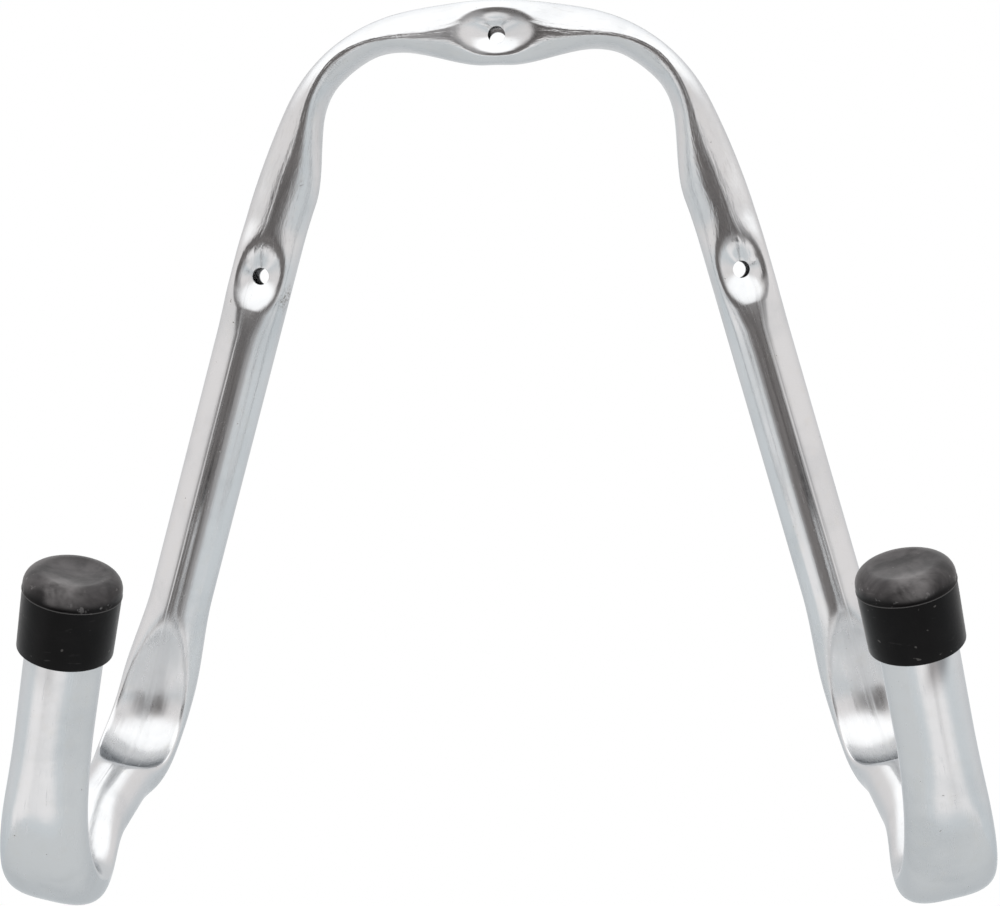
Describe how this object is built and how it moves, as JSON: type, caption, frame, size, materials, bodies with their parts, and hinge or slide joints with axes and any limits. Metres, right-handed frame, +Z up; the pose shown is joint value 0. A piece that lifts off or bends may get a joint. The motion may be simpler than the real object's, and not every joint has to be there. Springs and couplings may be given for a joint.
{
  "type": "garage utility hook",
  "caption": "Wall-mounted A-frame storage hook of bent zinc-plated steel tube, with two upturned arms and rubber end caps.",
  "frame": {"origin": "axis of the top screw hole, on the plane of the wall behind the tube", "axes": "+X to the viewer's right along the wall, +Y into the wall, +Z up; the hooks reach out along -Y"},
  "size_m": [0.2728, 0.1598, 0.2631],
  "materials": {
    "zinc_plated_steel": "bright zinc plate, smooth, with fine drawn lines along the tube",
    "black_rubber": "satin moulded rubber with a fine mould line"
  },
  "bodies": {
    "root": {"tube_frame": "zinc_plated_steel", "left_cap": "black_rubber", "right_cap": "black_rubber"}
  },
  "joints": []
}
